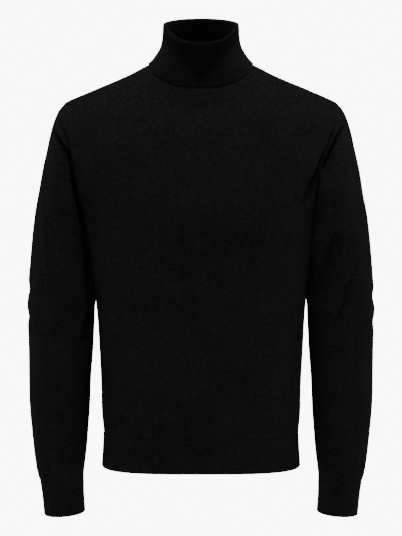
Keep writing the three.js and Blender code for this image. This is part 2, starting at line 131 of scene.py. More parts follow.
def curve(rows, at):
    """Every column of a table at the values `at` of its first column, on a smooth cubic through the rows."""
    rows = np.asarray(rows, float)
    key = rows[:, 0]
    at = np.clip(np.atleast_1d(np.asarray(at, float)), key[0], key[-1])
    before = rows[np.maximum(np.arange(len(rows)) - 1, 0)]
    after = rows[np.minimum(np.arange(len(rows)) + 1, len(rows) - 1)]
    slope = (after - before) / (after - before)[:, :1]
    i = np.clip(np.searchsorted(key, at, side="right") - 1, 0, len(key) - 2)
    span = (key[i + 1] - key[i])[:, None]
    t = (at - key[i])[:, None] / span
    return (
        (2 * t**3 - 3 * t**2 + 1) * rows[i]
        + (t**3 - 2 * t**2 + t) * slope[i] * span
        + (3 * t**2 - 2 * t**3) * rows[i + 1]
        + (t**3 - t**2) * slope[i + 1] * span
    )


def spaced(lines, shares):
    """Points along each line of points at the given shares of its length."""
    steps = np.linalg.norm(np.diff(lines, axis=1), axis=2)
    run = np.concatenate([np.zeros((len(lines), 1)), np.cumsum(steps, axis=1)], axis=1)
    run /= run[:, -1:]
    return np.array([[np.interp(shares, r, line[:, k]) for k in range(3)] for r, line in zip(run, lines)]).transpose(
        0, 2, 1
    )


def towards_ends(count, k=0.7):
    """Shares from 0 to 1 that crowd towards both ends: t less k sin(2 pi t) / (2 pi)."""
    t = np.linspace(0, 1, count + 1)
    return t - k * np.sin(2 * np.pi * t) / (2 * np.pi)


def ramp(x, low, high):
    """A smooth rise from 0 to 1 as x goes from low to high."""
    t = np.clip((x - low) / (high - low), 0, 1)
    return t * t * (3 - 2 * t)


def armhole_cut(z, face):
    """Half depth of the elliptical armhole at each height, to the front (face -1) or the back (face 1)."""
    middle, radius = (ARMPIT_Z + SHOULDER_Z) / 2, (SHOULDER_Z - ARMPIT_Z) / 2
    widest = ARMHOLE_FRONT if face < 0 else ARMHOLE_BACK
    return widest * np.sqrt(np.clip(1 - ((z - middle) / radius) ** 2, 0, 1))


def torso(z, face, shares):
    """Rows across the front or back of the body, one for each height.

    A row is the curve (x / wide)^n + ((y - mid) / depth)^n = 1 between its seams, with its middle moved in height
    by the section's drop or rise times (y share)^1.5, and its points at the given shares of its length.
    """
    _, half, mid, front, back, drop, rise, square = curve(TORSO, z).T[:, :, None]
    depth, lift = (back, rise) if face > 0 else (front, -drop)
    start = np.arcsin((armhole_cut(z, face)[:, None] / depth) ** (square / 2))
    wide = half / np.cos(start) ** (2 / square)
    angle = start + (np.pi - 2 * start) * np.linspace(0, 1, 700)
    across = -np.sign(np.cos(angle)) * np.abs(np.cos(angle)) ** (2 / square)
    share = np.clip(np.sin(angle), 0, 1) ** (2 / square)
    line = np.stack([wide * across, mid + face * depth * share, z[:, None] + lift * share**1.5], axis=-1)
    return spaced(line, shares)


def drawn(points, mirror=False):
    """Points beside the armholes' front edges, drawn in and forward by the table times exp(-(d / 40)^2).

    The distance d is from the body's half width, and the whole dies away towards the back as y rises to 0.
    """
    x, y, z = (points[..., k] for k in range(3))
    _, left_in, left_on, right_in, right_on = curve(DRAWN, z.ravel()).T.reshape(5, *z.shape)
    left = (x > 0) != mirror
    share = np.exp(-(((np.abs(x) - curve(TORSO, z.ravel())[:, 1].reshape(z.shape)) / 40) ** 2)) * ramp(-y, 0, 40)
    moved_in = np.where(left, left_in, right_in) * share * np.sign(x)
    return np.stack([x - moved_in, y - np.where(left, left_on, right_on) * share, z], axis=-1)


def normals_of(grid, wraps):
    """Unit normal at each point of a grid: the cross product of its steps along the row and up the column."""
    if wraps:
        across = np.roll(grid, -1, axis=1) - np.roll(grid, 1, axis=1)
    else:
        across = np.gradient(grid, axis=1)
    normal = np.cross(across, np.gradient(grid, axis=0))
    return normal / np.maximum(np.linalg.norm(normal, axis=2, keepdims=True), 1e-9)


def creased(grid, normals, creases):
    """The grid moved along its normals by its creases.

    Across a crease the height is a bell, exp(-q^form), with a low bank of up to 0.7 mm on each side, where q is
    the distance over the reach. Along it the height grows and dies away as sin(pi s), with a slow uneven swell.
    Where the right reach is under half of the left one, the cloth on the right laps over a trough by up to 2 mm.
    """
    moved = np.zeros(grid.shape)
    for number, (first, middle, last, height, left, right, form, side) in enumerate(creases):
        axes = [1, 2] if side == "outside" else [0, 2]
        seen = grid[..., axes]
        facing = {"front": -normals[..., 1], "back": normals[..., 1], "outside": normals[..., 0]}[side]
        first, middle, last = (np.array(p, float) for p in (first, middle, last))
        around = 3.2 * max(left, right)
        near = np.all((seen > np.minimum(np.minimum(first, last), middle) - around), axis=2)
        near &= np.all((seen < np.maximum(np.maximum(first, last), middle) + around), axis=2)
        near &= facing > 0
        points = seen[near]
        if not len(points):
            continue
        s = np.linspace(0, 1, 49)[:, None]
        bend = 2 * middle - (first + last) / 2
        line = (1 - s) ** 2 * first + 2 * s * (1 - s) * bend + s**2 * last
        along = np.gradient(line, axis=0)
        along /= np.linalg.norm(along, axis=1, keepdims=True)
        at = np.argmin(((points[:, None, :] - line[None]) ** 2).sum(axis=2), axis=1)
        off = points - line[at]
        forward = (off * along[at]).sum(axis=1)
        rightward = np.stack([along[at][:, 1], -along[at][:, 0]], axis=1)
        to_right = (off * rightward).sum(axis=1)
        past = np.where((at == 0) | (at == 48), np.abs(forward), 0)
        share = at / 48
        reach = np.where(to_right > 0, right, left) * (0.8 + 0.4 * share)
        q = np.hypot(to_right / reach, past / max(left, right))
        bank = min(0.33, 0.7 / abs(height)) * np.exp(-(((q - 1.9) / 0.75) ** 2))
        swell = np.sin(np.pi * share) ** 0.7 * (1 + 0.15 * np.sin(9 * share + 2.1 * number))
        swell *= ramp(facing[near], 0.0, 0.4)
        moved[near] += (height * (np.exp(-(q**form)) - bank) * swell)[:, None] * normals[near]
        if height < 0 and 2 * right < left:
            lap = max(height / 6, -2.0) * swell * np.exp(-((to_right / right - 1.6) ** 2)) * np.exp(-((past / 4) ** 2))
            moved[np.nonzero(near)[0][:, None], np.nonzero(near)[1][:, None], axes] += lap[:, None] * rightward
    return grid + moved


def uneven(grid, normals, height=0.35):
    """The grid moved by a slow low swell, as soft cloth is never quite even: products of sines of x, y and z."""
    x, y, z = grid[..., 0], grid[..., 1], grid[..., 2]
    swell = np.sin(x / 31 + z / 47 + 0.6) * np.sin(z / 39 - y / 29) + 0.6 * np.sin(x / 17 - z / 61) * np.sin(z / 23 + y / 19)
    return grid + normals * (height * swell)[..., None]


def seam_depth(z, face):
    """How deep a seam at the panels' edge is sunk: least on the shoulder, most down the front of the armhole."""
    deep = 6.0 * ramp(-z, 82, 112) * (1 - ramp(-z, 165, 215)) if face < 0 else 2.0 * ramp(-z, 82, 112) * (1 - ramp(-z, 165, 215))
    return 0.5 - 0.3 * ramp(z, -75, -55) + deep


def grooved(grid, normals, low=0.0, high=0.0, sides=0.0, wide=1.5):
    """The grid sunk at its seams: depth times exp(-(distance from the edge / wide)^2), for each edge that has one."""
    rise = np.linalg.norm(np.diff(grid, axis=0), axis=2)
    run = np.linalg.norm(np.diff(grid, axis=1), axis=2)
    up = np.concatenate([np.zeros((1, grid.shape[1])), np.cumsum(rise, axis=0)], axis=0)
    over = np.concatenate([np.zeros((grid.shape[0], 1)), np.cumsum(run, axis=1)], axis=1)
    sunk = low * np.exp(-((up / wide) ** 2)) + high * np.exp(-(((up[-1:] - up) / wide) ** 2))
    sunk += sides * (np.exp(-((over / wide) ** 2)) + np.exp(-(((over[:, -1:] - over) / wide) ** 2)))
    return grid - normals * sunk[..., None]


def flat_map(grid, wraps, ribs=0):
    """Where the start and the end of each column's quads lie in the flat knit, in millimetres.

    Across, it is the distance along the row from the middle column, and up, the distance along that column. A
    tube's middle column is its first, and its map is cut open opposite. Ribs are counted instead, one to a rib.
    """
    closed = np.concatenate([grid, grid[:, :1]], axis=1) if wraps else grid
    run = np.cumsum(np.linalg.norm(np.diff(closed, axis=1), axis=2), axis=1)
    run = np.concatenate([np.zeros((len(grid), 1)), run], axis=1)
    if ribs:
        run = np.broadcast_to(np.linspace(0, ribs * RIB_UNIT, run.shape[1]), run.shape)
    middle = 0 if wraps else run.shape[1] // 2
    up = np.linalg.norm(np.diff(grid[:, middle], axis=0), axis=1)
    up = np.broadcast_to(np.concatenate([[0], np.cumsum(up)])[:, None], (len(grid), run.shape[1] - 1))
    past = np.arange(run.shape[1] - 1) >= (run.shape[1] - 1) // 2 if wraps and not ribs else 0
    shift = run[:, middle, None] + past * (run[:, -1:] if wraps else 0)
    return np.stack([run[:, :-1] - shift, up], axis=-1), np.stack([run[:, 1:] - shift, up], axis=-1)


def shell(name, outer, normals, wall, wraps, soft_low=False, soft_high=False, mirror=False, ribs=0, flat=None):
    """A closed cloth wall: the outer grid, the same grid moved in by the wall, and the strips that join their edges.

    A soft edge has one more row that leads both faces together round it. The place in the flat knit is the
    mesh's map, in metres.
    """
    wall = np.broadcast_to(np.reshape(wall, (-1, 1, 1)), (len(outer), 1, 1))
    inner = outer - normals * wall
    for soft, end, step in ((soft_low, 0, 1), (soft_high, -1, -2)):
        if soft:
            out = outer[end] - outer[step]
            out /= np.linalg.norm(out, axis=1, keepdims=True)
            lip = (outer[end] + out * 0.42 * wall[end] - normals[end] * 0.27 * wall[end])[None]
            lap = (inner[end] + out * 0.42 * wall[end] + normals[end] * 0.27 * wall[end])[None]
            outer = np.concatenate([lip, outer] if end == 0 else [outer, lip])
            inner = np.concatenate([lap, inner] if end == 0 else [inner, lap])
    start, finish = flat or flat_map(outer, wraps, ribs)
    rows, columns = outer.shape[:2]
    wide = columns if wraps else columns - 1
    i, j = np.meshgrid(np.arange(rows - 1), np.arange(wide), indexing="ij")
    k = (j + 1) % columns
    one = np.stack([i * columns + j, i * columns + k, (i + 1) * columns + k, (i + 1) * columns + j], axis=-1)
    map_one = np.stack([start[:-1], finish[:-1], finish[1:], start[1:]], axis=2)
    one, map_one = one.reshape(-1, 4), map_one.reshape(-1, 4, 2)
    shift = rows * columns
    quads, maps = [one, one[:, ::-1] + shift], [map_one, map_one[:, ::-1]]
    j = np.arange(wide)
    k = (j + 1) % columns
    for row, turn in ((0, 1), (rows - 1, -1)):
        a, b = row * columns + j, row * columns + k
        quads.append(np.stack([b, a, a + shift, b + shift], axis=-1)[:, ::turn])
        maps.append(np.stack([finish[row], start[row], start[row], finish[row]], axis=1)[:, ::turn])
    if not wraps:
        i = np.arange(rows - 1)
        for column, side, turn in ((0, start[:, 0], 1), (columns - 1, finish[:, -1], -1)):
            a, b = i * columns + column, (i + 1) * columns + column
            quads.append(np.stack([a, b, b + shift, a + shift], axis=-1)[:, ::turn])
            maps.append(np.stack([side[:-1], side[1:], side[1:], side[:-1]], axis=1)[:, ::turn])
    quads, maps = np.concatenate(quads), np.concatenate(maps) / 1000
    points = np.concatenate([outer.reshape(-1, 3), inner.reshape(-1, 3)]) / 1000
    if mirror:
        points = points * (-1, 1, 1)
        quads, maps = quads[:, ::-1], maps[:, ::-1]
    mesh = bpy.data.meshes.new(name)
    mesh.from_pydata(points.tolist(), [], quads.tolist())
    mesh.polygons.foreach_set("use_smooth", np.ones(len(quads), bool))
    layer = mesh.uv_layers.new(name="flat_knit")
    layer.data.foreach_set("uv", maps.reshape(-1))
    mesh.update()
    piece = bpy.data.objects.new(name, mesh)
    bpy.context.scene.collection.objects.link(piece)
    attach(piece, "root")
    return piece


def node(tree, kind, **values):
    """A shader node, with values for its properties or, by name, for its input sockets."""
    made = tree.nodes.new(kind)
    for key, value in values.items():
        if key in made.inputs:
            if isinstance(value, bpy.types.NodeSocket):
                tree.links.new(value, made.inputs[key])
            else:
                made.inputs[key].default_value = value
        else:
            setattr(made, key, value)
    return made


def sum_of(tree, operation, *terms):
    """A math node's result on up to three terms, each a number or another node's socket."""
    made = tree.nodes.new("ShaderNodeMath")
    made.operation = operation
    for socket, term in zip(made.inputs, terms):
        if isinstance(term, bpy.types.NodeSocket):
            tree.links.new(term, socket)
        else:
            socket.default_value = term
    return made.outputs[0]


def knit_material(name, dark, wide, tall, relief, sheen, paler_where_open_and_lit=False):
    """Soft black knit: columns of V-shaped stitches in the mesh's own map, fuzz, and yarn that is a little mottled.

    With the last argument set, the colour is about twice as pale where the mesh's attribute `open` is high: partly for
    ribs that stand apart, partly a painted highlight where the cloth catches light.
    """
    material = bpy.data.materials.new(name)
    material.use_nodes = True
    tree = material.node_tree
    surface = tree.nodes["Principled BSDF"]
    place = node(tree, "ShaderNodeUVMap", uv_map="flat_knit").outputs[0]
    parts = node(tree, "ShaderNodeSeparateXYZ", Vector=place)
    column = sum_of(tree, "FRACT", sum_of(tree, "DIVIDE", parts.outputs[0], wide / 1000))
    leg = sum_of(tree, "ABSOLUTE", sum_of(tree, "SUBTRACT", column, 0.5))
    lean = sum_of(tree, "ADD", sum_of(tree, "DIVIDE", parts.outputs[1], tall / 1000), sum_of(tree, "MULTIPLY", leg, -1.3))
    course = sum_of(tree, "COSINE", sum_of(tree, "MULTIPLY", lean, 2 * np.pi))
    from_leg = sum_of(tree, "MULTIPLY", sum_of(tree, "SUBTRACT", leg, 0.25), 4.0)
    yarn = sum_of(tree, "SUBTRACT", 1.0, sum_of(tree, "MULTIPLY", from_leg, from_leg))
    stitch = sum_of(tree, "MULTIPLY", yarn, sum_of(tree, "MULTIPLY_ADD", course, 0.35, 0.65))
    drawn = node(tree, "ShaderNodeVectorMath", operation="MULTIPLY")
    tree.links.new(place, drawn.inputs[0])
    drawn.inputs[1].default_value = (0.7, 1.0, 1.0)
    drawn = drawn.outputs[0]
    inside = node(tree, "ShaderNodeTexCoord").outputs["Object"]
    fleck = node(tree, "ShaderNodeTexNoise", Vector=drawn, Scale=520.0, Detail=1.0, Roughness=0.5).outputs[0]
    streak = node(tree, "ShaderNodeTexNoise", Vector=drawn, Scale=170.0, Detail=2.0, Roughness=0.6).outputs[0]
    patch = node(tree, "ShaderNodeTexNoise", Vector=inside, Scale=24.0, Detail=3.0, Roughness=0.55).outputs[0]
    height = sum_of(tree, "MULTIPLY_ADD", fleck, 0.5, stitch)
    bump = node(tree, "ShaderNodeBump", Strength=1.0, Distance=relief / 1000, Height=height)
    tree.links.new(bump.outputs[0], surface.inputs["Normal"])
    shade = sum_of(tree, "MULTIPLY_ADD", stitch, 0.3, 0.83)
    shade = sum_of(tree, "MULTIPLY", shade, sum_of(tree, "MULTIPLY_ADD", fleck, 2.3, -0.15))
    shade = sum_of(tree, "MULTIPLY", shade, sum_of(tree, "MULTIPLY_ADD", streak, 1.2, 0.4))
    shade = sum_of(tree, "MULTIPLY", shade, sum_of(tree, "MULTIPLY_ADD", patch, 0.5, 0.75))
    shade = sum_of(tree, "MAXIMUM", shade, 0.2)
    # Paler where `open` is high: partly ribs that stand apart, partly a painted highlight on the neck's fold and
    # flare.
    if paler_where_open_and_lit:
        open_ribs_and_painted_light = node(tree, "ShaderNodeAttribute", attribute_name="open").outputs["Fac"]
        shade = sum_of(tree, "MULTIPLY", shade, sum_of(tree, "MULTIPLY_ADD", open_ribs_and_painted_light, 1.3, 0.9))
    colour = node(tree, "ShaderNodeMix", data_type="RGBA", blend_type="MULTIPLY")
    colour.inputs[0].default_value = 1.0
    colour.inputs[6].default_value = (*dark, 1)
    tree.links.new(shade, colour.inputs[7])
    tree.links.new(colour.outputs[2], surface.inputs["Base Color"])
    surface.inputs["Roughness"].default_value = 0.95
    surface.inputs["Specular IOR Level"].default_value = 0.0
    surface.inputs["Sheen Weight"].default_value = sheen
    surface.inputs["Sheen Roughness"].default_value = 0.5
    surface.inputs["Sheen Tint"].default_value = (0.9, 0.9, 0.9, 1)
    return material


def wall_heights(steps):
    """Heights of a panel's rows: even down the body, by angle in so many steps round the armhole, even above it."""
    middle, radius = (ARMPIT_Z + SHOULDER_Z) / 2, (SHOULDER_Z - ARMPIT_Z) / 2
    body = np.linspace(HEM_SEAM_Z, ARMPIT_Z, BELOW_ARMPIT + 1)[:-1]
    armhole = middle - radius * np.cos(np.pi * np.arange(steps) / steps)
    return np.concatenate([body, armhole, np.linspace(SHOULDER_Z, NECK_SEAM_Z, SHOULDER_STEPS)])


def body_wall(z, face):
    """The front or back of the body and its outward normals, which it shares with the other side at their seams."""
    grid, other = (drawn(torso(z, side, towards_ends(BODY_COLUMNS))) for side in (face, -face))
    normals = normals_of(grid, False) * -face
    across = normals_of(other, False) * face
    joined = armhole_cut(z, face) < 1
    for edge in (0, -1):
        shared = normals[joined, edge] + across[joined, edge]
        normals[joined, edge] = shared / np.linalg.norm(shared, axis=1, keepdims=True)
    return grid, normals


def panel(name, face, steps, creases, material):
    """The front or back panel, as a cloth wall with its seams a little sunk."""
    z = wall_heights(steps)
    plain, normals = body_wall(z, face)
    soft = creased(uneven(plain, normals), normals, creases)
    edge = towards_ends(BODY_COLUMNS) * np.linalg.norm(np.diff(plain, axis=1), axis=2).sum(axis=1).mean()
    hold = ramp(np.minimum(edge, edge[-1] - edge), 0, 4)[None, :, None]
    hold = hold * (ramp(z - z[0], 0, 6) * ramp(z[-1] - z, 0, 5))[:, None, None]
    outer = grooved(plain + (soft - plain) * hold, normals, low=0.5, sides=seam_depth(z, face)[:, None])
    if face > 0:
        outer, normals = outer[:, ::-1], normals[:, ::-1]
    piece = shell(name, outer, normals, KNIT_WALL, False)
    piece.data.materials.append(material)
    return piece


knit = knit_material("black_knit", (0.0085, 0.0085, 0.0085), STITCH_WIDE, STITCH_TALL, 0.45, 0.008)
front = panel("front_knit", -1, FRONT_STEPS, FRONT_CREASES, knit)
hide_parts("front_panel")

# Back panel. The same knit, a little wider across the shoulder blades and cut higher at the neck.
BACK_CREASES = [
    # first point, middle point, last point, height, left reach, right reach, form, side
    ((200, -140), (182, -185), (152, -240), -5.5, 8, 5, 2, "back"),
    ((-198, -146), (-180, -196), (-156, -236), -4.5, 5, 8, 2, "back"),
    ((206, -180), (196, -214), (180, -244), -1.6, 8, 8, 2, "back"),
    ((-128, -424), (-30, -452), (78, -438), -4.6, 12, 14, 2, "back"),
    ((-72, -474), (34, -496), (132, -470), -4.0, 12, 10, 2, "back"),
    ((-140, -498), (-66, -520), (20, -530), -2.8, 12, 12, 2, "back"),
    ((30, -396), (96, -404), (150, -386), -2.6, 12, 12, 2, "back"),
    ((-156, -440), (-152, -500), (-146, -590), -3.4, 6, 6, 2, "back"),
    ((158, -450), (150, -520), (146, -596), -3.4, 6, 6, 2, "back"),
    ((-70, -40), (-96, -64), (-128, -76), -1.8, 14, 14, 2, "back"),
    ((64, -42), (98, -66), (134, -80), -2.0, 14, 14, 2, "back"),
    ((112, -596), (104, -576), (92, -560), -2.4, 7, 7, 2, "back"),
]
back = panel("back_knit", 1, BACK_STEPS, BACK_CREASES, knit)
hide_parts("back_panel")

# Hem band. A close double band of the same yarn, linked to the lower edge of the front and back panels.
# Its folded lower edge is soft and round.
BAND_WALL = 2.3


def band(name, face):
    """The front or back half of the hem band: the body's own sections, a little fuller below the linked seam."""
    z = np.linspace(HEM_EDGE_Z, HEM_SEAM_Z, 30)
    plain, normals = body_wall(z, face)
    full = 0.35 * ramp(HEM_SEAM_Z - z, 0.5, 5)[:, None, None]
    outer = grooved(plain + normals * full, normals, high=0.5, sides=0.5)
    if face > 0:
        outer, normals = outer[:, ::-1], normals[:, ::-1]
    piece = shell(name, outer, normals, BAND_WALL, False, soft_low=True)
    piece.data.materials.append(band_knit)
    return piece


band_knit = knit_material("black_band_knit", (0.0085, 0.0085, 0.0085), 1.6, 1.35, 0.45, 0.008)
hem_front = band("front_hem", -1)
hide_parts("front_hem_band")
hem_back = band("back_hem", 1)
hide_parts("back_hem_band")

# Sleeves. Each is one piece of the plain knit, closed under the arm and set into its armhole, where the
# rounded cap leaves a deep crease at the front of the shoulder.
CONTACT_GAP = 0.7
SLEEVE = [
    # step, outX, outZ, inX, inZ, depth, mid, loop, square
    (0, 223, -64.5, 191.6, -246, 66, 0, 1, 2),
    (1, 232.4, -75.7, 193, -248, 66.5, 1, 0.85, 2),
    (2, 240.5, -94, 193, -250.5, 67, 2, 0.65, 2),
    (3, 246.7, -114.5, 192.5, -253, 67, 3, 0.45, 2),
    (4, 253, -143, 191.5, -256, 66.5, 4, 0.28, 2.05),
    (5, 259.8, -173, 190, -259.5, 66, 5, 0.14, 2.1),
    (6, 265.7, -202.5, 188.5, -264, 65.5, 5, 0.05, 2.1),
    (7, 271.7, -237, 187, -270, 64.5, 5, 0, 2.15),
    (8, 277, -277, 184.5, -280, 63, 5, 0, 2.2),
    (9, 282.5, -331, 179.5, -331, 59.5, 5, 0, 2.25),
    (10, 286, -388, 174.8, -388, 55, 4, 0, 2.25),
    (11, 285.1, -451, 177.6, -451, 52, 2, 0, 2.25),
    (12, 284.7, -516, 182, -516, 50, 0, 0, 2.25),
    (13, 283.2, -570, 184.6, -570, 47, -2, 0, 2.2),
    (14, 277.8, -631, 189.3, -630, 43, -4, 0, 2.15),
    (15, 271.9, -671, 193.7, -668.5, 39.5, -5, 0, 2.1),
    (16, 267.5, -688, 194.8, -685, 37.5, -6, 0, 2.1),
    (17, 263.9, -712, 195, -708.5, 36.5, -6, 0, 2.1),
    (18, 260.9, -743.5, 193.2, -738.5, 36.5, -7, 0, 2.1),
]
LEFT_SLEEVE_CREASES = [
    # first point, middle point, last point, height, left reach, right reach, form, side
    ((230, -99), (212, -131), (187, -180), -17.0, 5, 2.6, 2, "front"),
    ((200, -176), (188, -252), (177, -352), 17.0, 13, 10, 2, "front"),
    ((233, -158), (220, -192), (203, -230), -3.0, 8, 7, 2, "front"),
    ((218, -270), (197, -336), (186, -388), -14.0, 12, 7, 2, "front"),
    ((256, -306), (229, -392), (208, -456), -6.5, 7, 3.4, 2, "front"),
    ((271, -270), (269, -430), (257, -600), 1.8, 9, 9, 2, "front"),
    ((240, -470), (232, -540), (226, -610), 0.8, 13, 13, 2, "front"),
    ((231, -112), (216, -146), (203, -182), -7.0, 8, 3.5, 2, "back"),
    ((254, -338), (228, -376), (200, -404), -5.0, 8, 6, 2, "back"),
    ((262, -392), (238, -420), (206, -436), -4.0, 8, 7, 2, "back"),
    ((252, -470), (236, -500), (214, -520), -1.6, 10, 10, 2, "back"),
    ((-34, -356), (2, -382), (40, -378), -2.2, 10, 10, 2, "outside"),
    ((-30, -412), (4, -424), (36, -412), -1.8, 9, 9, 2, "outside"),
    ((-44, -150), (-20, -190), (8, -240), -1.2, 12, 12, 2, "outside"),
]
RIGHT_SLEEVE_CREASES = [
    # first point, middle point, last point, height, left reach, right reach, form, side
    ((238, -106), (219, -134), (203, -166), -16.0, 9, 2.6, 2, "front"),
    ((212, -124), (193.5, -258), (180, -392), -22.0, 5.5, 6.5, 4, "front"),
    ((212, -168), (198, -285), (186, -440), 6.0, 14, 4, 2, "front"),
    ((258, -150), (252, -290), (241, -450), 3.2, 4.5, 4.5, 2, "front"),
    ((276, -478), (273, -590), (262, -684), 1.6, 8, 8, 2, "front"),
    ((176, -372), (184, -418), (191, -462), -9.0, 5, 8, 4, "front"),
    ((232, -360), (214, -410), (202, -452), -1.2, 10, 10, 2, "front"),
    ((232, -120), (217, -150), (204, -184), -7.0, 8, 3.5, 2, "back"),
    ((256, -326), (232, -366), (204, -398), -5.0, 8, 6, 2, "back"),
    ((262, -380), (240, -412), (208, -432), -4.0, 8, 7, 2, "back"),
    ((-36, -344), (0, -370), (38, -368), -2.2, 10, 10, 2, "outside"),
    ((-28, -402), (6, -416), (38, -408), -1.8, 9, 9, 2, "outside"),
]


def armhole(mirror):
    """An armhole's plain edge and the panels' normals at it, from the shoulder down the front and up the back."""
    edges, normals = [], []
    for face, steps in ((-1, FRONT_STEPS), (1, BACK_STEPS)):
        z = wall_heights(steps)
        rows = slice(BELOW_ARMPIT, BELOW_ARMPIT + steps + 1)
        edges.append(torso(z, face, np.array([0.0, 1.0]))[rows, 1])
        side = body_wall(z, face)[1][rows, 0 if mirror else -1]
        normals.append(side * (-1 if mirror else 1, 1, 1))
    return tuple(np.concatenate([front_half[::-1], back_half[1:-1]]) for front_half, back_half in (edges, normals))


def body_half(y, z):
    """Half width of the body's surface below the armpit at each depth and height."""
    _, half, mid, front_depth, back_depth, _, _, square = curve(TORSO, z.ravel()).T.reshape(8, *z.shape)
    share = np.abs(y - mid) / np.where(y < mid, front_depth, back_depth)
    return half * (1 - np.clip(share, 0, 1) ** square) ** (1 / square)


def sleeve_rings(steps, loop):
    """Rings of a left sleeve at steps of its table, from the armhole's own loop to an ellipse on a chord.

    A ring's point lies at the share h up its chord from the armpit side, the distance y across it, and the loop's
    bulge off it. `rounded` is the ellipse with its section's power. Just below the armpit the cloth that comes
    within 7 mm of the body lies against it.
    """
    turn = np.linspace(0, np.pi, FRONT_STEPS + 1), np.linspace(np.pi, 2 * np.pi, BACK_STEPS + 1)[1:-1]
    turn = np.concatenate(turn)
    bottom, top = loop[FRONT_STEPS], loop[0]
    first_chord = (top - bottom) * (1, 0, 1)
    first_normal = np.array([first_chord[2], 0, -first_chord[0]]) / np.linalg.norm(first_chord)
    along = (loop - bottom) * (1, 0, 1)
    loop_h = along @ first_chord / (first_chord @ first_chord)
    loop_bulge = along @ first_normal
    _, out_x, out_z, in_x, in_z, depth, mid, keep, square = curve(SLEEVE, steps).T[:, :, None]
    rounded_h = (1 + np.sign(np.cos(turn)) * np.abs(np.cos(turn)) ** (2 / square)) / 2
    rounded_y = mid - depth * np.sign(np.sin(turn)) * np.abs(np.sin(turn)) ** (2 / square)
    h = rounded_h + (loop_h - rounded_h) * keep
    y = rounded_y + (loop[:, 1] - rounded_y) * keep
    length = np.hypot(out_x - in_x, out_z - in_z)
    bulge = loop_bulge * keep
    x = in_x + (out_x - in_x) * h + (out_z - in_z) / length * bulge
    z = in_z + (out_z - in_z) * h - (out_x - in_x) / length * bulge
    touch = body_half(y, z) + CONTACT_GAP
    off = np.maximum(x - touch, 0)
    below = ARMPIT_Z - z
    close = ramp(below, 0, 2) * (1 - ramp(below, 138, 152)) * (1 - ramp(off, 0, 7))
    x = np.where(below > 0, touch + off * (1 - close), x)
    return np.stack([x, y, z], axis=-1)


def sleeve_map(grid, steps):
    """Where the start and the end of each column's quads lie in a sleeve's flat knit, whose courses are level.

    Up, it is the height. Across, it is the angle about the arm times 58 mm in the cap, and the distance round the
    ring below it.
    """
    start, finish = flat_map(grid, True)
    centre = 200 + 31 * ramp(-grid[..., 2], 110, 270)
    around = -58 * np.arctan2(grid[..., 1] - grid[:, FRONT_STEPS, None, 1], grid[..., 0] - centre)
    ends = np.roll(around, -1, axis=1)
    ends[:, FRONT_STEPS - 1] *= -1
    lower = ramp(steps, 7, 9)[:, None]
    start[..., 0] = around + (start[..., 0] - around) * lower
    finish[..., 0] = ends + (finish[..., 0] - ends) * lower
    start[..., 1] = grid[..., 2]
    finish[..., 1] = np.roll(grid[..., 2], -1, axis=1)
    return start, finish


def sleeve(name, creases, mirror):
    """A sleeve as a closed tube of knit, sunk at the armhole with the panels, and a little at the cuff's seam."""
    loop, panel_normals = armhole(mirror)
    first = np.linspace(0, 1, 14) ** 1.3, np.linspace(1, 5.5, 66)[1:], np.linspace(5.5, 8, 20)[1:]
    steps = np.concatenate([*first, 8 + 8 * towards_ends(84, 0.35)[1:]])
    plain = sleeve_rings(steps, loop)
    plain[0] = loop
    flat = sleeve_map(plain, steps)
    plain = drawn(plain, mirror)
    normals = normals_of(plain, True)
    soft = creased(uneven(plain, normals), normals, creases)
    off = np.linalg.norm(plain - plain[0], axis=2, keepdims=True)
    hold = ramp(off, 0, 4) * ramp(16 - steps, 0, 0.5)[:, None, None]
    outer = grooved(plain + (soft - plain) * hold, normals, high=0.5)
    turned = ramp(off, 0, 4)
    depth = np.where(loop[:, 1] < 0, seam_depth(loop[:, 2], -1), seam_depth(loop[:, 2], 1))[:, None]
    outer -= depth * np.exp(-((off / 1.5) ** 2)) * (panel_normals * (1 - turned) + normals * turned)
    piece = shell(name, outer, normals, KNIT_WALL, True, mirror=mirror, flat=flat)
    piece.data.materials.append(knit)
    return piece


left_sleeve = sleeve("left_sleeve_knit", LEFT_SLEEVE_CREASES, False)
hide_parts("left_sleeve")
right_sleeve = sleeve("right_sleeve_knit", RIGHT_SLEEVE_CREASES, True)
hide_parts("right_sleeve")

# Cuffs. Close double bands like the hem's, linked round the end of each sleeve and folded at their open edge.
def cuff(name, mirror):
    """A cuff as a closed tube, from the sleeve's own sections past its seam."""
    plain = sleeve_rings(np.linspace(16, 18, 34), armhole(mirror)[0])
    normals = normals_of(plain, True)
    full = 0.35 * ramp(np.linspace(0, 54, 34), 0.5, 5)[:, None, None]
    outer = grooved(plain + normals * full, normals, low=0.5)
    piece = shell(name, outer, normals, BAND_WALL, True, soft_high=True, mirror=mirror)
    piece.data.materials.append(band_knit)
    return piece


left_cuff = cuff("left_cuff_knit", False)
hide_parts("left_cuff")
right_cuff = cuff("right_cuff_knit", True)
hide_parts("right_cuff")

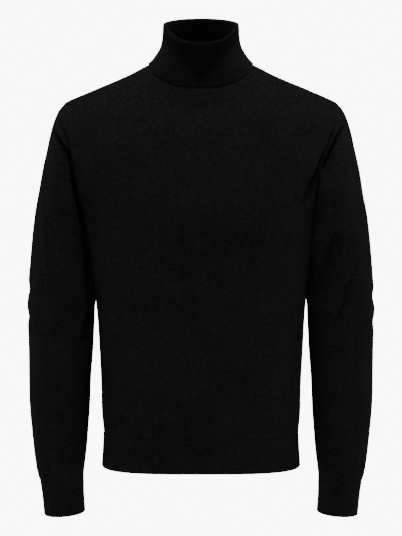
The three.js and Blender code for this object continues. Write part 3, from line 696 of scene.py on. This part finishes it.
# Neck tube. One tube of 1x1 rib, linked inside the neckline, standing close round the neck and folded down
# over itself, so that its free edge lies on the shoulders and hides the seam.
NECK_RIBS = 104
RIB_UNIT = 3.6
RIB_COLUMNS = 6
RIB_RISE = 0.6
NECK_WALL = 2.0
NECK = [
    # step, z, half, mid, front, back, drop, rise, square
    (0, -2.8, 74.1, 4, 71.3, 67.3, 36.5, 11.5, 2.1),
    (1, 8, 68.6, 2.5, 67.5, 63.5, 35, 11.5, 2.1),
    (2, 21.5, 60.4, -0.5, 61, 58, 32, 11.5, 2.1),
    (3, 41, 55.7, -3.5, 54, 54.5, 30, 12, 2.1),
    (4, 60, 55, -5, 50, 52.5, 33.5, 9, 2.25),
    (5, 64.2, 55.8, -5, 51.2, 53.2, 33.5, 9.5, 2.3),
    (6, 66.3, 58.2, -5, 54, 56, 33.5, 9.5, 2.35),
    (7, 64, 60.9, -5, 57.4, 58.9, 33.5, 9.5, 2.3),
    (8, 57, 61.6, -4.8, 59.6, 60.4, 32.8, 9.5, 2.2),
    (9, 46, 61.8, -4.2, 60.9, 62, 32, 10.5, 2.1),
    (10, 35.5, 62.6, -3, 62.8, 62.8, 32, 11, 2.1),
    (11, 26, 65.2, -2, 64.6, 65.7, 33, 10.5, 2.1),
    (12, 17, 70.3, 0, 68.8, 70.5, 34.5, 9.5, 2.1),
    (13, 8.6, 77, 1.5, 74, 75.5, 37, 9, 2.2),
    (14, 1, 85, 3, 78.5, 80.5, 39.5, 8, 2.3),
]


def neck_rings(steps, columns):
    """Rings of the neck tube at steps of its table: the body's kind of section, once round from the right side."""
    _, z, half, mid, front_depth, back_depth, drop, rise, square = curve(NECK, steps).T[:, :, None]
    angle = np.linspace(0, 2 * np.pi, 1401)
    back_side = np.sin(angle) >= 0
    across = -np.sign(np.cos(angle)) * np.abs(np.cos(angle)) ** (2 / square)
    share = np.abs(np.sin(angle)) ** (2 / square)
    y = mid + np.where(back_side, back_depth, -front_depth) * share
    height = z + np.where(back_side, rise, -drop) * share**1.5
    line = np.stack([half * across, y, height], axis=-1)
    return spaced(line, np.arange(columns + 1) / columns)[:, :-1]


def neck_tube():
    """The folded tube: ribs as rounded ridges on the face that shows, |sin(pi n s)| round the ring, plain behind.

    The fold lies closest to the neck in a V under the chin and behind. Beside and below the V, where
    |x| > 0.8 (z + 33), its ribs stand open and that share moves the cloth out by 1 mm. The attribute `open` is that
    share, or more inside the tube and over the top of the fold. The colour is paler by it, partly for ribs that stand
    apart and partly as a painted highlight where the flare and the fold's roll catch light, so the V stays darker.
    """
    columns = NECK_RIBS * RIB_COLUMNS
    steps = np.concatenate([np.linspace(0, 4, 20), np.linspace(4, 8, 17)[1:], np.linspace(8, 14, 36)[1:]])
    plain = neck_rings(steps, columns)
    normals = normals_of(plain, True)
    share = np.arange(columns) / columns
    rib = RIB_RISE * np.abs(np.sin(np.pi * NECK_RIBS * share)) ** 0.9
    wave = 0.5 * np.sin(2 * np.pi * 3 * share + 0.8) + 0.35 * np.sin(2 * np.pi * 7 * share)
    drift = ramp(steps, 9, 14)[:, None] * wave[None, :]
    beside = ramp(np.abs(plain[..., 0]) - 0.8 * (plain[..., 2] + 33), -13, 13)
    folded = ramp(steps, 8, 10)[:, None]
    out = 1.0 * beside * folded * (1 - ramp(steps, 12, 14)[:, None])
    outer = plain + normals * (rib[None, :] + 0.3 * drift + out)[..., None]
    outer[..., 2] += 0.4 * drift
    wall = NECK_WALL + RIB_RISE * 0.4 - 1.2 * ramp(steps, 12, 14)
    piece = shell("neck_rib", outer, normals, wall, True, soft_high=True, ribs=NECK_RIBS)
    piece.data.materials.append(neck_knit)
    # Painted highlight: the top of the fold and the inside of the tube are made paler, as if lit from above.
    rim_painted_highlight = 1.8 * np.exp(-(((steps - 6.2) / 1.1) ** 2)) + 0.8 * (1 - ramp(steps, 4, 6))
    open_ribs_and_highlight = np.maximum(beside * folded, rim_painted_highlight[:, None] * np.ones(columns))
    open_ribs_and_highlight = np.concatenate([open_ribs_and_highlight, open_ribs_and_highlight[-1:]])
    layer = piece.data.attributes.new("open", "FLOAT", "POINT")
    layer.data.foreach_set("value", np.tile(open_ribs_and_highlight.ravel(), 2))
    return piece


# The rib knit is the body's black yarn in a copy over four times darker: painted shade for the rib grooves and the
# collar's front. Where `open` is high it gets a painted highlight.
neck_knit = knit_material("black_rib_knit_painted_shade_and_highlight", (0.0019, 0.0019, 0.0019), RIB_UNIT, 1.5, 0.4, 0.031, paler_where_open_and_lit=True)
neck = neck_tube()
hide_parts("neck_tube")

# Studio. A wide pale floor under a pale surround, lit by one large soft light above and a tall one on each side.
surround = bpy.data.worlds.new("studio")
bpy.context.scene.world = surround
surround.use_nodes = True
sky = surround.node_tree
light = sky.nodes["Background"]
light.inputs[0].default_value = (1, 1, 1, 1)
light.inputs[1].default_value = 0.16
seen = node(sky, "ShaderNodeBackground", Color=(1, 1, 1, 1), Strength=9.0).outputs[0]
ray = node(sky, "ShaderNodeLightPath").outputs["Is Camera Ray"]
choice = sky.nodes.new("ShaderNodeMixShader")
sky.links.new(ray, choice.inputs[0])
sky.links.new(light.outputs[0], choice.inputs[1])
sky.links.new(seen, choice.inputs[2])
sky.links.new(choice.outputs[0], sky.nodes["World Output"].inputs[0])

floor_mesh = bpy.data.meshes.new("floor")
floor_mesh.from_pydata([(-60, -60, -1.1), (60, -60, -1.1), (60, 60, -1.1), (-60, 60, -1.1)], [], [(0, 1, 2, 3)])
floor = bpy.data.objects.new("floor", floor_mesh)
bpy.context.scene.collection.objects.link(floor)
pale = bpy.data.materials.new("pale_floor")
pale.use_nodes = True
tree = pale.node_tree
tree.nodes["Principled BSDF"].inputs["Base Color"].default_value = (0.8, 0.8, 0.8, 1)
tree.nodes["Principled BSDF"].inputs["Roughness"].default_value = 0.9
bright = node(tree, "ShaderNodeEmission", Color=(1, 1, 1, 1), Strength=9.0).outputs[0]
ray = node(tree, "ShaderNodeLightPath").outputs["Is Camera Ray"]
choice = tree.nodes.new("ShaderNodeMixShader")
tree.links.new(ray, choice.inputs[0])
tree.links.new(tree.nodes["Principled BSDF"].outputs[0], choice.inputs[1])
tree.links.new(bright, choice.inputs[2])
tree.links.new(choice.outputs[0], tree.nodes["Material Output"].inputs[0])
floor.data.materials.append(pale)

for name, place, aim, width, height, power in (
    ("top_light", (0.0, -0.1, 2.4), (0, 0, -0.3), 2.4, 1.8, 18),
    ("front_light", (0.0, -1.8, 2.4), (0, 0, -0.3), 2.4, 1.4, 106),
    ("left_light", (2.5, 0.1, 0.1), (0, 0, -0.35), 1.0, 2.0, 15),
    ("right_light", (-2.5, 0.1, 0.1), (0, 0, -0.35), 1.0, 2.0, 8),
    ("left_low_light", (2.2, -1.1, -0.6), (0, 0, -0.5), 0.7, 0.9, 6),
    ("right_low_light", (-2.2, -1.1, -0.6), (0, 0, -0.5), 0.7, 0.9, 4.5),
    ("left_back_light", (2.3, 1.1, 0.1), (0, 0, -0.35), 1.0, 2.0, 30),
    ("right_back_light", (-2.3, 1.1, 0.1), (0, 0, -0.35), 1.0, 2.0, 40),
):
    lamp = bpy.data.lights.new(name, "AREA")
    lamp.shape = "RECTANGLE"
    lamp.size = width
    lamp.size_y = height
    lamp.energy = power
    holder = bpy.data.objects.new(name, lamp)
    bpy.context.scene.collection.objects.link(holder)
    holder.location = place
    holder.rotation_euler = (Vector(aim) - Vector(place)).to_track_quat("-Z", "Y").to_euler()

# Camera. At the height of the chest, level with the middle of the sweater, looking a little down at it.
EYE = Vector((0, -2.85, -0.06))
AIM = Vector((0, 0, -0.334))
SEEN_HEIGHT = 0.8836
lens = bpy.data.cameras.new("camera")
lens.sensor_width = 36
lens.lens = 36 * (AIM - EYE).length / SEEN_HEIGHT
camera = bpy.data.objects.new("camera", lens)
bpy.context.scene.collection.objects.link(camera)
camera.location = EYE
camera.rotation_euler = (AIM - EYE).to_track_quat("-Z", "Y").to_euler()
bpy.context.scene.camera = camera
